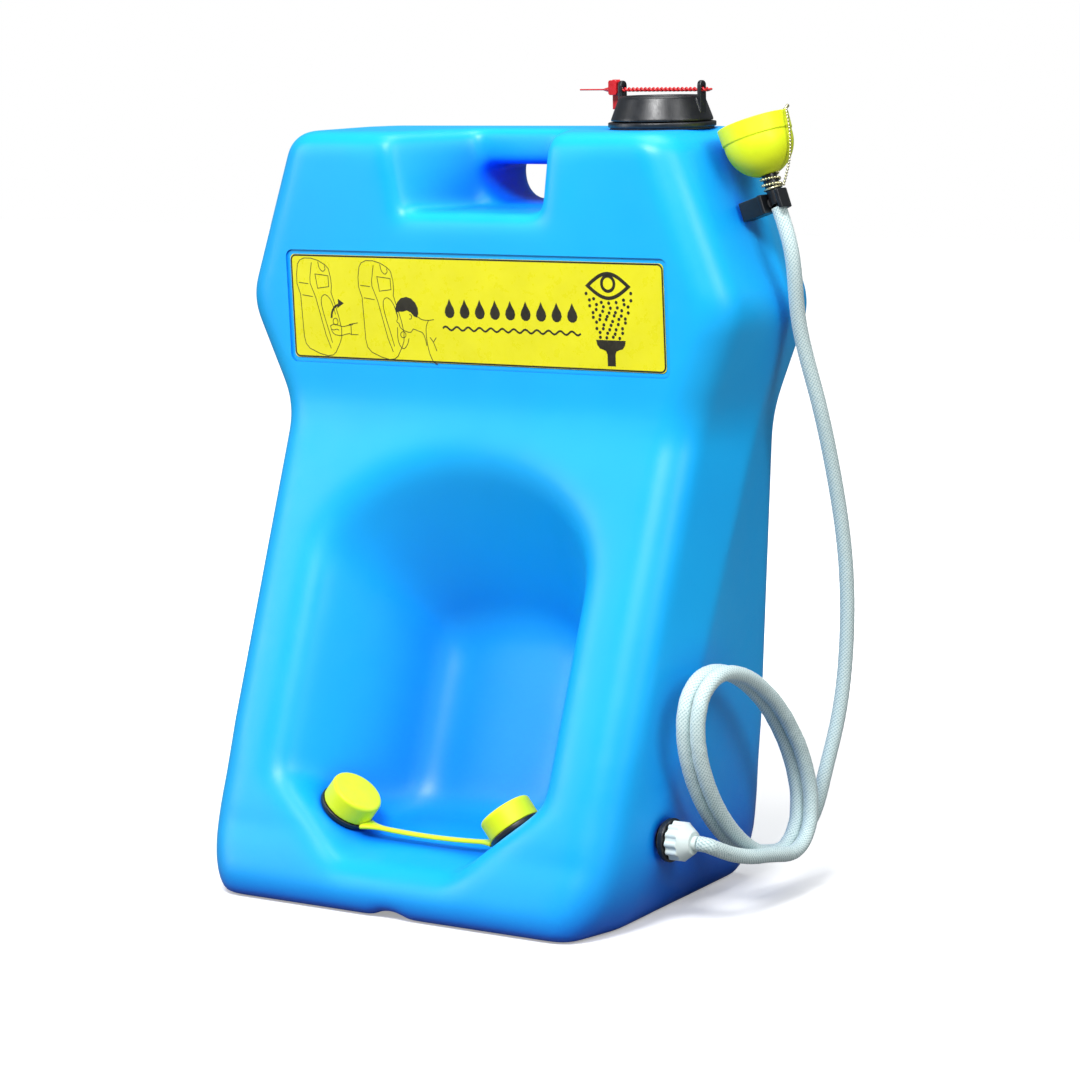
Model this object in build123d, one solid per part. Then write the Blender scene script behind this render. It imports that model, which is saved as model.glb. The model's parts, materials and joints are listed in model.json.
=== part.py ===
from build123d import *
import math
import os

os.makedirs("parts", exist_ok=True)

# ---------------------------------------------------------------- tank
# Plan outline of the tank at four heights.  Each entry: height, front half
# width, front y, half width on the mould parting line, parting line y,
# rear half width, rear y.
base_outline = (0.0, 243.0, -185.0, 256.0, -100.0, 232.0, 178.0)
waist_outline = (490.0, 253.0, 5.0, 267.0, 122.0, 253.0, 185.0)
ridge_outline = (603.0, 302.0, 0.6, 313.0, 114.0, 299.0, 185.0)
crown_outline = (780.0, 236.0, -6.1, 244.0, 132.0, 225.0, 185.0)
outlines = (base_outline, waist_outline, ridge_outline, crown_outline)
tank_height = crown_outline[0]
tank_wall = 5.0
front_corner_radius = 40.0
rear_corner_radius = 28.0
base_edge_radius = 26.0
side_foot_height = 82.0
side_foot_width = 34.0
crown_edge_radius = 22.0
waist_blend = 26.0
ridge_blend = 22.0
base_groove_radius = 45.0
base_groove_depth = 7.0
base_pad_length = 120.0

# ---------------------------------------------------------------- bowl
# The bowl runs in from the sloping front face.  Heights are measured up that
# face from the foot, depth is square to it.
bowl_half_width = 168.0
bowl_arch_spring = 367.0
bowl_arch_top = 483.0
bowl_floor = 52.0
bowl_depth = 156.0
bowl_back_half_width = 84.0
bowl_back_spring = 314.0
bowl_back_top = 339.0
bowl_back_floor = 138.0
bowl_edge_radius = 38.0
bowl_draft = 32.0
bowl_corner_radius = 30.0
bowl_back_radius = 45.0
front_slope = math.degrees(math.atan2(waist_outline[2] - base_outline[2], waist_outline[0]))
front_out = (0, -math.cos(math.radians(front_slope)), math.sin(math.radians(front_slope)))
front_plane = Plane(origin=(0, base_outline[2], 0), x_dir=(1, 0, 0), z_dir=front_out)

# ---------------------------------------------------------------- handle
recess_half_width = 103.0
recess_foot_half_width = 88.0
recess_back_half_width = 51.0
recess_floor = 698.0
recess_back_y = 95.0
hand_hole_bottom = 703.0
hand_hole_top = 742.0
hand_hole_radius = 26.0
hand_hole_edge_radius = 7.0
recess_edge_radius = 14.0

# ---------------------------------------------------------------- label
label_half_width = 232.0
label_bottom = 543.0
label_top = 652.0
label_thickness = 0.8
label_pocket_depth = 2.2
label_pocket_border = 5.0
label_corner_radius = 5.0

# ---------------------------------------------------------------- nozzles
# Each eyewash nozzle stands square to a seat that tilts towards the middle.
nozzle_tilt = 39.0
nozzle_seat = (110.0, -93.0, 84.5)
nozzle_bore_radius = 16.0
nozzle_flange_radius = 29.5
nozzle_flange_thickness = 5.0
nozzle_gasket_thickness = 2.0
nozzle_spigot_radius = 23.0
nozzle_spigot_top = 25.0
nozzle_shank_length = 22.0
nozzle_way_radius = 11.0
spray_head_radius = 19.0
spray_head_thickness = 4.0
spray_hole_radius = 1.2
nozzle_cap_radius = 28.0
nozzle_cap_top = 30.0
nozzle_cap_roof = 3.0
running_gap = 0.08
strap_width = 9.0
strap_thickness = 4.0
strap_sag = 3.5

# ---------------------------------------------------------------- filler
filler_centre = (174.0, 95.0)
neck_gasket_thickness = 2.0
neck_flange_radius = 54.5
neck_flange_thickness = 5.0
neck_radius = 40.0
neck_bore_radius = 34.0
neck_foot = 18.0
neck_rise = 19.0
cap_skirt_radius = 51.5
cap_top_radius = 43.5
cap_lift_off = 1.0
cap_roof = 5.0
cap_gasket_thickness = 2.0
cap_post_radius = 47.0
cap_post_thickness = 4.5
cap_post_width = 11.0
cap_post_top = 828.0
seal_height = 819.0
seal_hole_radius = 3.5
seal_strand_radius = 1.4
seal_strand_offset = 1.6

# ---------------------------------------------------------------- drench outlet
outlet_face_x = 260.0
outlet_y = -53.0
outlet_z = 88.0
outlet_boss_radius = 27.0
outlet_boss_depth = 12.0
outlet_shank_radius = 12.0
outlet_way_radius = 6.0
outlet_flange_radius = 22.0
outlet_flange_thickness = 5.0
outlet_gasket_thickness = 2.0
outlet_stub_radius = 11.0
outlet_stub_length = 18.0
swivel_nut_radius = 20.0
swivel_nut_start = 8.0
swivel_nut_end = 31.5
swivel_skirt_end = 21.0
swivel_lobes = 12
tail_neck_radius = 7.0
tail_end = 36.0
washer_thickness = 1.5

# ---------------------------------------------------------------- drench hose
hose_radius = 7.6
coil_centre_y = 42.0
coil_centre_z = 150.0
coil_long_radius = 126.0
coil_short_radius = 68.0
coil_lean = -45.0
coil_outer_x = 314.0
coil_inner_x = 281.0
coil_start_angle = -45.0
coil_end_angle = 645.0
# The free rise of the hose, from behind the coil up to the clip.
hose_rise = (
    (282.0, 100.0, 46.0),
    (285.0, 152.0, 47.0),
    (290.0, 184.0, 72.0),
    (297.0, 193.0, 108.0),
    (308.0, 202.0, 165.0),
    (319.0, 203.0, 245.0),
    (327.0, 188.0, 345.0),
    (329.0, 163.0, 430.0),
    (327.0, 133.0, 515.0),
    (324.0, 104.0, 595.0),
)

# ---------------------------------------------------------------- drench head
head_seat = (313.0, 84.0, 710.0)
head_lean = 19.0
stem_radius = 7.5
stem_low = -3.0
cup_low = 27.0
cup_high = 82.0
cup_radius = 34.5
cup_rim_radius = 36.5
cup_band_height = 17.0
cup_wall = 3.0
cup_base_radius = 11.0
spray_face_radius = 25.5
spray_face_z = 56.0
plug_radius = 27.5
plug_z = 61.0
plug_thickness = 5.0
chain_radius = 1.5

# ---------------------------------------------------------------- clip
clip_reach = 46.0
clip_height = 19.0
clip_wall = 4.5
clip_gap = 0.6
clip_block_width = 19.0
clip_block_length = 26.0
clip_edge_radius = 2.5
clip_screw_radius = 2.2
clip_screw_head_radius = 4.2
clip_screw_head_thickness = 2.6
clip_screw_grip = 12.0
clip_pad_width = 34.0


def ramp(distance, blend):
    """Zero before a knot, the distance after it, and a parabola across it."""
    if distance <= -blend:
        return 0.0
    if distance >= blend:
        return distance
    return (distance + blend) ** 2 / (4 * blend)


def outline_value(index, z):
    """One outline dimension at height z, with the waist and ridge rounded."""
    base, waist, ridge, crown = outlines
    slope_low = (waist[index] - base[index]) / (waist[0] - base[0])
    slope_mid = (ridge[index] - waist[index]) / (ridge[0] - waist[0])
    slope_high = (crown[index] - ridge[index]) / (crown[0] - ridge[0])
    value = base[index] + slope_low * z
    value += (slope_mid - slope_low) * ramp(z - waist[0], waist_blend)
    value += (slope_high - slope_mid) * ramp(z - ridge[0], ridge_blend)
    return value


def rounded_outline(points, radii):
    """Closed wire on z = 0 through the points, each corner with its radius."""
    count = len(points)
    entries = []
    middles = []
    exits = []
    for i in range(count):
        corner = Vector(*points[i])
        back = (Vector(*points[i - 1]) - corner).normalized()
        ahead = (Vector(*points[(i + 1) % count]) - corner).normalized()
        half_angle = math.acos(back.dot(ahead)) / 2
        reach = radii[i] / math.tan(half_angle)
        rise = radii[i] / math.sin(half_angle) - radii[i]
        entries.append(corner + back * reach)
        exits.append(corner + ahead * reach)
        middles.append(corner + (back + ahead).normalized() * rise)
    edges = []
    for i in range(count):
        if radii[i] > 0:
            edges.append(ThreePointArc(entries[i], middles[i], exits[i]))
        edges.append(Line(exits[i], entries[(i + 1) % count]))
    return Wire(edges)


def side_foot(z):
    """How far the two sides curve in near the floor, beyond the edge rounding."""
    climb = max(side_foot_height - z, 0.0) / side_foot_height
    curve = side_foot_width * (1 - math.sqrt(1 - climb ** 2))
    edge = max(base_edge_radius - z, 0.0)
    rounding = base_edge_radius - math.sqrt(base_edge_radius ** 2 - edge ** 2)
    return max(curve - rounding, 0.0)


def tank_section(z, inset):
    """Six sided plan outline of the tank at height z, pulled in by inset."""
    values = [outline_value(i, z) for i in range(1, 7)]
    front_w, front_y, part_w, part_y, rear_w, rear_y = values
    side = inset + side_foot(z)
    points = (
        (front_w - side, front_y + inset),
        (part_w - side, part_y),
        (rear_w - side, rear_y - inset),
        (side - rear_w, rear_y - inset),
        (side - part_w, part_y),
        (side - front_w, front_y + inset),
    )
    front_r = max(front_corner_radius - inset, 8.0)
    rear_r = max(rear_corner_radius - inset, 6.0)
    radii = (front_r, 0, rear_r, rear_r, 0, front_r)
    return Pos(0, 0, z) * rounded_outline(points, radii)


def edge_steps(radius):
    """Inset and drop pairs that walk round a quarter circle edge."""
    pairs = []
    for angle in (0, 22.5, 45, 67.5, 90):
        turn = math.radians(angle)
        pairs.append((radius * (1 - math.sin(turn)), radius * (1 - math.cos(turn))))
    return pairs


def tank_body(inset):
    """Tank outside form, or the hollow inside it when inset is the wall."""
    foot_scale = (base_edge_radius - inset) / base_edge_radius
    crown_scale = (crown_edge_radius - inset) / crown_edge_radius
    foot = []
    for pull, drop in edge_steps(base_edge_radius):
        foot.append(tank_section(inset + foot_scale * drop, inset + foot_scale * pull))
    for share in (0.3, 0.65, 1.0):
        z = base_edge_radius + (side_foot_height - base_edge_radius) * share
        foot.append(tank_section(z, inset))
    head = []
    for pull, drop in edge_steps(crown_edge_radius):
        z = tank_height - inset - crown_scale * drop
        head.append(tank_section(z, inset + crown_scale * pull))
    blend_steps = (-1, -0.5, 0, 0.5, 1)
    waist = [tank_section(waist_outline[0] + waist_blend * t, inset) for t in blend_steps]
    ridge = [tank_section(ridge_outline[0] + ridge_blend * t, inset) for t in blend_steps]
    pieces = [
        Solid.make_loft(foot),
        Solid.make_loft([foot[-1], waist[0]], True),
        Solid.make_loft(waist),
        Solid.make_loft([waist[-1], ridge[0]], True),
        Solid.make_loft(ridge),
        Solid.make_loft([ridge[-1], head[-1]], True),
        Solid.make_loft(head[::-1]),
    ]
    return pieces[0].fuse(*pieces[1:])


def bowl_size(depth):
    """Half width, arch spring, arch top and floor of the bowl at a depth."""
    t = depth / bowl_depth
    half = bowl_half_width + (bowl_back_half_width - bowl_half_width) * t
    spring = bowl_arch_spring + (bowl_back_spring - bowl_arch_spring) * t
    top = bowl_arch_top + (bowl_back_top - bowl_arch_top) * t
    floor = bowl_floor + (bowl_back_floor - bowl_floor) * t
    return half, spring, top, floor


def arch(half, rise, spring, start, end):
    """One quarter of the elliptical arch over the bowl."""
    return Edge.make_ellipse(half, rise, Plane(origin=(0, spring, 0)), start, end)


def bowl_section(depth, grow):
    """Arched outline of the bowl at a depth below the sloping front face."""
    half, spring, top, floor = bowl_size(depth)
    half += grow
    spring += min(grow, 0.0)
    top += grow
    floor -= grow
    corner = bowl_corner_radius
    edges = [
        Line((corner - half, floor), (half - corner, floor)),
        RadiusArc((half - corner, floor), (half, floor + corner), -corner),
        Line((half, floor + corner), (half, spring)),
        arch(half, top - spring, spring, 0, 90),
        arch(half, top - spring, spring, 90, 180),
        Line((-half, spring), (-half, floor + corner)),
        RadiusArc((-half, floor + corner), (corner - half, floor), -corner),
    ]
    return front_plane * Pos(0, 0, -depth) * Wire(edges)


def mouth_section(depth, grow):
    """Outline of the bowl mouth with its two slanting nozzle seats."""
    half, spring, top, floor = bowl_size(depth)
    half += grow
    top += grow
    floor -= grow
    tilt = math.radians(nozzle_tilt)
    lean = math.radians(front_slope)
    seat_x, seat_y, seat_z = nozzle_seat
    rise = math.tan(tilt) / math.cos(lean)
    seat_v = (seat_z + depth * math.sin(lean)) / math.cos(lean) - grow * math.hypot(1, rise)
    shoulder = seat_v + (half - seat_x) * rise
    foot = seat_x - (seat_v - floor) / rise
    edges = [
        Line((-foot, floor), (foot, floor)),
        Line((foot, floor), (half, shoulder)),
        Line((half, shoulder), (half, spring)),
        arch(half, top - spring, spring, 0, 90),
        arch(half, top - spring, spring, 90, 180),
        Line((-half, spring), (-half, shoulder)),
        Line((-half, shoulder), (-foot, floor)),
    ]
    return front_plane * Pos(0, 0, -depth) * Wire(edges)


def mouth_flare():
    """Rounds the edge between the bowl walls and the sloping front face."""
    draft = math.radians(bowl_draft)
    tangent = bowl_edge_radius * math.tan((math.pi / 2 - draft) / 2)
    first = math.radians(12)
    last = math.pi / 2 - draft
    sections = []
    for i in range(5):
        turn = first + (last - first) * i / 4
        depth = bowl_edge_radius * (1 - math.cos(turn))
        spread = tangent - bowl_edge_radius * math.sin(turn) + depth * math.tan(draft)
        sections.append(mouth_section(depth, spread))
        if i == 0:
            outer = mouth_section(-2.0, spread + (depth + 2.0) / math.tan(first))
    return Solid.make_loft([outer, sections[0]], True).fuse(Solid.make_loft(sections))


def bowl_hollow(grow):
    """Drafted bowl whose walls run into its back through a wide rounding."""
    draft = math.radians(bowl_draft)
    radius = bowl_back_radius + grow
    back = bowl_depth + grow
    tangent = radius * math.tan((math.pi / 2 - draft) / 2)
    last = math.pi / 2 - draft
    sections = []
    for i in range(6):
        turn = last * (1 - i / 5)
        rise = radius * (1 - math.cos(turn))
        spread = radius * math.sin(turn) - tangent - rise * math.tan(draft)
        sections.append(bowl_section(back - rise, grow + spread))
    walls = Solid.make_loft([bowl_section(-40, grow), sections[0]], True)
    return walls.fuse(Solid.make_loft(sections))


def bowl_cutter(grow):
    """The bowl hollow; grow thickens it for the wall around it."""
    hollow = bowl_hollow(grow)
    seat_x, seat_y, seat_z = nozzle_seat
    slope = math.tan(math.radians(nozzle_tilt))
    drop = grow / math.cos(math.radians(nozzle_tilt))
    valley = 30.0
    valley_z = seat_z - (seat_x - valley) * slope - drop
    wide = 320.0
    side_z = seat_z + (wide - seat_x) * slope - drop
    roof = tank_height + 200
    points = (
        (-valley, valley_z),
        (valley, valley_z),
        (wide, side_z),
        (wide, roof),
        (-wide, roof),
        (-wide, side_z),
    )
    seats = extrude(Plane.XZ * make_face(Polyline(*points, close=True)), amount=400, both=True)
    return hollow & seats


def handle_cutter(grow):
    """Grip recess in the front of the crown and the hand hole behind it."""
    front_y = -30.0
    reach = (recess_back_y - front_y) / recess_back_y
    front_foot = recess_back_half_width + (recess_foot_half_width - recess_back_half_width) * reach
    front_top = recess_back_half_width + (recess_half_width - recess_back_half_width) * reach
    floor = recess_floor - grow
    roof = tank_height + 20
    front = Wire(Polyline((-front_foot - grow, front_y, floor), (front_foot + grow, front_y, floor),
                          (front_top + grow, front_y, roof), (-front_top - grow, front_y, roof), close=True))
    half = recess_back_half_width + grow
    back_y = recess_back_y + grow
    back = Wire(Polyline((-half, back_y, floor), (half, back_y, floor),
                         (half, back_y, roof), (-half, back_y, roof), close=True))
    recess = Solid.make_loft([front, back], True)
    hole_height = hand_hole_top - hand_hole_bottom + 2 * grow
    hole = Box(2 * half, 160, hole_height)
    hole = fillet(hole.edges().filter_by(Axis.Y).group_by(Axis.Z)[0], hand_hole_radius)
    hole = Pos(0, 160, (hand_hole_top + hand_hole_bottom) / 2) * hole
    return recess, hole


def nozzle_plane(side):
    """Seat of one nozzle: z stands out of the seat, x points along the strap."""
    tilt = math.radians(nozzle_tilt)
    seat_x, seat_y, seat_z = nozzle_seat
    return Plane(
        origin=(side * seat_x, seat_y, seat_z),
        x_dir=(-side * math.cos(tilt), 0, -math.sin(tilt)),
        z_dir=(-side * math.sin(tilt), 0, math.cos(tilt)),
    )


def tube(outer, inner, low, high):
    """Plain tube along z."""
    middle = (low + high) / 2
    return Pos(0, 0, middle) * (Cylinder(outer, high - low) - Cylinder(inner, high - low + 2))


def rod(radius, low, high):
    """Plain rod along z."""
    return Pos(0, 0, (low + high) / 2) * Cylinder(radius, high - low)


def save(shape, name):
    """Write one node of the assembly."""
    export_step(shape, "parts/" + name + ".step")


# ---------------------------------------------------------------- shared frames
label_height = label_top - label_bottom
label_middle = (label_top + label_bottom) / 2
label_lean = math.atan2(waist_outline[2] - crown_outline[2], crown_outline[0] - waist_outline[0])
label_plane = Plane(
    origin=(0, outline_value(2, label_middle), label_middle),
    x_dir=(1, 0, 0),
    z_dir=(0, -math.cos(label_lean), -math.sin(label_lean)),
)
lean = math.radians(head_lean)
head_up = (-math.sin(lean), 0, math.cos(lean))
head_side = (math.cos(lean), 0, math.sin(lean))
head_plane = Plane(origin=head_seat, x_dir=head_side, z_dir=head_up)
outlet_plane = Plane(origin=(outlet_face_x, outlet_y, outlet_z), x_dir=(0, 1, 0), z_dir=(1, 0, 0))
filler = Pos(filler_centre[0], filler_centre[1], tank_height)
clip_root = head_plane * Pos(-clip_reach, 0, 0)
clip_plane = Plane(origin=clip_root.position, x_dir=(0, 1, 0), z_dir=head_side)

# ---------------------------------------------------------------- tank shell
clip_screw_foot = clip_reach - clip_block_length - clip_screw_grip
recess, hand_hole = handle_cutter(0.0)
outside = tank_body(0.0) - recess
recess_edges = [
    edge for edge in outside.edges()
    if all(edge.position_at(t).Y < 3 and abs(edge.position_at(t).X) < 115
           and 690 < edge.position_at(t).Z < 762 for t in (0, 0.5, 1))
]
outside = outside.solid().fillet(recess_edge_radius, recess_edges)
outside = outside - hand_hole
hand_edges = [edge for edge in outside.edges() if all(
    edge.position_at(t).Y > recess_back_y + 60 and abs(edge.position_at(t).X) < 60
    and 700 < edge.position_at(t).Z < 745 for t in (0, 0.5, 1)) and abs((edge % 0.5).Y) < 0.5]
outside = outside.solid().fillet(hand_hole_edge_radius, hand_edges)
outside = outside - bowl_cutter(0.0) - mouth_flare()
label_pocket = label_plane * Pos(0, 0, -label_pocket_depth) * extrude(
    RectangleRounded(
        2 * (label_half_width + label_pocket_border),
        label_height + 2 * label_pocket_border,
        label_corner_radius + 3,
    ),
    amount=40,
)
outside = outside - label_pocket
groove = Pos(0, 0, base_groove_depth - base_groove_radius) * Rot(90, 0, 0) * Cylinder(base_groove_radius, 600)
groove = groove - Box(200, base_pad_length, 200)
outside = outside - groove

recess_wall, hand_wall = handle_cutter(tank_wall)
mouth_guard = Solid.make_loft([bowl_section(-40, 34.0), bowl_section(30, tank_wall)], True)
cavity = tank_body(tank_wall) - recess_wall - hand_wall - bowl_cutter(tank_wall) - mouth_guard
cavity = cavity - Pos(0, 0, tank_wall) * groove
outlet_boss = outlet_plane * rod(outlet_boss_radius, -outlet_boss_depth, 0)
clip_pad = clip_plane * Pos(0, 0, 1) * Box(clip_pad_width, clip_pad_width, 30)
cavity = cavity - outlet_boss - clip_pad
cavity = cavity.solids().sort_by(SortBy.VOLUME)[-1]
tank_shell = outside - cavity + outlet_boss
for side in (-1, 1):
    tank_shell = tank_shell - nozzle_plane(side) * rod(nozzle_bore_radius, -20, 10)
tank_shell = tank_shell - outlet_plane * rod(outlet_shank_radius, -30, 10)
tank_shell = tank_shell - filler * rod(neck_radius, -20, 10)
tank_shell = tank_shell - clip_plane * rod(clip_screw_radius, clip_screw_foot, clip_reach)
save(tank_shell, "tank_shell")

label_plate = extrude(
    RectangleRounded(2 * label_half_width, label_height, label_corner_radius),
    amount=label_thickness,
)
save(label_plane * Pos(0, 0, -label_pocket_depth) * label_plate, "label_plate")

# ---------------------------------------------------------------- filler neck and cap
flange_low = neck_gasket_thickness
flange_high = flange_low + neck_flange_thickness
neck_top = flange_high + neck_rise
save(filler * tube(neck_flange_radius - 2, neck_radius, 0, flange_low), "neck_gasket")
neck_ring = tube(neck_flange_radius, neck_bore_radius, flange_low, flange_high)
neck_ring += tube(neck_radius, neck_bore_radius, -neck_foot, neck_top)
save(filler * neck_ring, "neck_ring")

roof_low = neck_top + cap_gasket_thickness
cap_low = flange_high + cap_lift_off
cap_high = roof_low + cap_roof
save(filler * tube(neck_radius - 1, neck_bore_radius, neck_top, roof_low), "cap_gasket")
cap_profile = Polyline(
    (neck_radius + running_gap, cap_low),
    (cap_skirt_radius, cap_low),
    (cap_skirt_radius, cap_low + 2),
    (cap_top_radius, cap_high - 2),
    (cap_top_radius - 2, cap_high),
    (cap_top_radius - 5, cap_high),
    (cap_top_radius - 6, cap_high - 2),
    (0, cap_high - 2),
    (0, roof_low),
    (neck_radius + running_gap, roof_low),
    close=True,
)
fill_cap = revolve(Plane.XZ * make_face(cap_profile), Axis.Z)
post_high = cap_post_top - tank_height
seal_z = seal_height - tank_height
post_low = cap_low + 2
for side in (-1, 1):
    post = Pos(side * cap_post_radius, 0, (post_low + post_high) / 2) * Box(
        cap_post_thickness, cap_post_width, post_high - post_low)
    post = fillet(post.edges().filter_by(Axis.X).group_by(Axis.Z)[-1], cap_post_width / 2 - 0.2)
    fill_cap = fill_cap + post
seal_bore = Pos(0, 0, seal_z) * Rot(0, 90, 0) * Cylinder(seal_hole_radius, 3 * cap_post_radius)
save(filler * (fill_cap - seal_bore), "fill_cap")

# Pull tight seal: two strands run through both posts and meet in the lock.
lock_x = -cap_post_radius - 9.5
loop_x = cap_post_radius + 9.0
off = seal_strand_offset
strand_path = Wire([
    Line((lock_x + 5.5, -off, seal_z), (loop_x, -off, seal_z)),
    ThreePointArc((loop_x, -off, seal_z), (loop_x + off, 0, seal_z), (loop_x, off, seal_z)),
    Line((loop_x, off, seal_z), (lock_x + 5.5, off, seal_z)),
])
strand_start = Plane(origin=(lock_x + 5.5, -off, seal_z), x_dir=(0, 1, 0), z_dir=(1, 0, 0))
seal_strap = sweep(strand_start * Circle(seal_strand_radius), path=strand_path)
save(filler * seal_strap, "seal_strap")
seal_lock = Pos(lock_x, 0, seal_z + 2) * Box(10, 9, 15)
seal_lock = fillet(seal_lock.edges().filter_by(Axis.Y), 2.5)
seal_lock += Pos(lock_x - 1, 5, seal_z - 5) * Box(9, 1.5, 30)
seal_lock += Pos(lock_x - 9, 0, seal_z) * Rot(0, -90, 0) * Cone(3.2, 0.9, 9)
seal_lock += Pos(lock_x - 24, 0, seal_z) * Rot(0, 90, 0) * Cylinder(0.8, 36)
save(filler * seal_lock, "seal_lock")

# ---------------------------------------------------------------- nozzles
nozzle_flange_top = nozzle_gasket_thickness + nozzle_flange_thickness
for side, name in ((-1, "left"), (1, "right")):
    seat = nozzle_plane(side)
    gasket = tube(nozzle_flange_radius - 2.5, nozzle_bore_radius, 0, nozzle_gasket_thickness)
    save(seat * gasket, "nozzle_gasket_" + name)
    body = rod(nozzle_flange_radius, nozzle_gasket_thickness, nozzle_flange_top)
    body += rod(nozzle_spigot_radius, nozzle_flange_top, nozzle_spigot_top)
    body += rod(nozzle_bore_radius, -nozzle_shank_length, nozzle_gasket_thickness)
    body -= rod(nozzle_way_radius, -nozzle_shank_length - 1, nozzle_spigot_top + 1)
    body -= rod(spray_head_radius, nozzle_spigot_top - spray_head_thickness, nozzle_spigot_top + 1)
    save(seat * body, "nozzle_body_" + name)
    nut = extrude(RegularPolygon(nozzle_bore_radius + 7, 6), amount=8)
    nut -= rod(nozzle_bore_radius, -1, 9)
    save(seat * Pos(0, 0, -tank_wall - 8) * nut, "nozzle_nut_" + name)
    face = rod(spray_head_radius, nozzle_spigot_top - spray_head_thickness, nozzle_spigot_top)
    hole = rod(spray_hole_radius, 0, nozzle_spigot_top + 1)
    face -= hole
    for ring_radius, count in ((6.0, 6), (12.0, 12)):
        face -= [loc * hole for loc in PolarLocations(ring_radius, count)]
    save(seat * face, "spray_head_" + name)
    cap = rod(nozzle_cap_radius, nozzle_flange_top + 0.5, nozzle_cap_top)
    cap = fillet(cap.edges().group_by(Axis.Z)[-1], 3.5)
    cap -= rod(nozzle_spigot_radius + running_gap, nozzle_flange_top, nozzle_cap_top - nozzle_cap_roof)
    save(seat * cap, "nozzle_cap_" + name)

# The strap hangs between the inner edges of the two caps.
strap_anchor = (nozzle_plane(1) * Pos(nozzle_cap_radius + 3.0, 0, nozzle_flange_top + 3.0)).position
strap_path = Spline(
    (-strap_anchor.X, strap_anchor.Y, strap_anchor.Z),
    (-strap_anchor.X / 2, strap_anchor.Y, strap_anchor.Z - 0.8 * strap_sag),
    (0, strap_anchor.Y, strap_anchor.Z - strap_sag),
    (strap_anchor.X / 2, strap_anchor.Y, strap_anchor.Z - 0.8 * strap_sag),
    (strap_anchor.X, strap_anchor.Y, strap_anchor.Z),
)
strap_start = Plane(origin=strap_path @ 0, x_dir=(0, 1, 0), z_dir=strap_path % 0)
save(sweep(strap_start * Rectangle(strap_width, strap_thickness), path=strap_path), "pull_strap")

# ---------------------------------------------------------------- drench outlet
outlet_flange_low = outlet_gasket_thickness
outlet_flange_high = outlet_flange_low + outlet_flange_thickness
stub_end = outlet_flange_high + outlet_stub_length
save(outlet_plane * tube(outlet_flange_radius - 2, outlet_shank_radius, 0, outlet_flange_low), "outlet_gasket")
fitting = rod(outlet_flange_radius, outlet_flange_low, outlet_flange_high)
fitting += rod(outlet_shank_radius, -outlet_boss_depth - 10, outlet_flange_low)
fitting += rod(outlet_stub_radius, outlet_flange_high, stub_end)
fitting -= rod(outlet_way_radius, -outlet_boss_depth - 11, stub_end + 1)
save(outlet_plane * fitting, "outlet_fitting")
outlet_nut = extrude(RegularPolygon(outlet_shank_radius + 7, 6), amount=8) - rod(outlet_shank_radius, -1, 9)
save(outlet_plane * Pos(0, 0, -outlet_boss_depth - 8) * outlet_nut, "outlet_nut")
washer_end = stub_end + washer_thickness
save(outlet_plane * tube(outlet_stub_radius - 0.5, outlet_way_radius, stub_end, washer_end), "hose_washer")
tail_flange_end = washer_end + 2.0
tail = rod(outlet_stub_radius - 0.5, washer_end, tail_flange_end)
tail += rod(tail_neck_radius, tail_flange_end, tail_end)
tail -= rod(outlet_way_radius - 1.5, washer_end - 1, tail_end + 1)
save(outlet_plane * tail, "hose_tail")
lobe = rod(3.2, swivel_nut_start, swivel_skirt_end)
swivel = rod(swivel_nut_radius - 2, swivel_nut_start, swivel_skirt_end)
swivel += [loc * lobe for loc in PolarLocations(swivel_nut_radius - 3.2, swivel_lobes)]
shoulder_height = swivel_nut_end - swivel_skirt_end
swivel += Pos(0, 0, swivel_skirt_end + shoulder_height / 2) * Cone(swivel_nut_radius - 1, 11.5, shoulder_height)
swivel -= rod(outlet_stub_radius + running_gap, swivel_nut_start - 1, tail_flange_end)
swivel -= rod(tail_neck_radius + running_gap, tail_flange_end, swivel_nut_end + 1)
save(outlet_plane * swivel, "swivel_nut")

# ---------------------------------------------------------------- drench hose
hose_start = (outlet_plane * Pos(0, 0, tail_end + 0.6)).position
hose_end = (head_plane * Pos(0, 0, stem_low - 0.6)).position
tilt = math.radians(coil_lean)
coil_points = []
coil_steps = 30
for i in range(coil_steps + 1):
    t = i / coil_steps
    angle = math.radians(coil_start_angle + (coil_end_angle - coil_start_angle) * t)
    along = coil_long_radius * math.cos(angle)
    across = coil_short_radius * math.sin(angle)
    y = coil_centre_y + along * math.cos(tilt) - across * math.sin(tilt)
    z = coil_centre_z + along * math.sin(tilt) + across * math.cos(tilt)
    coil_points.append((coil_outer_x + (coil_inner_x - coil_outer_x) * t, y, z))
lead_in = (hose_start.X + 12.0, hose_start.Y + 26.0, hose_start.Z - 12.0)
hose_points = [tuple(hose_start), lead_in] + coil_points + list(hose_rise)
hose_points.append(tuple((head_plane * Pos(0, 0, stem_low - 40)).position))
hose_points.append(tuple(hose_end))
hose_path = Spline(*hose_points, tangents=((1, 0, 0), head_up), tangent_scalars=(1, 1))
hose_section = Plane(origin=hose_start, x_dir=(0, 1, 0), z_dir=(1, 0, 0)) * Circle(hose_radius)
save(sweep(hose_section, path=hose_path, is_frenet=True), "drench_hose")

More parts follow.
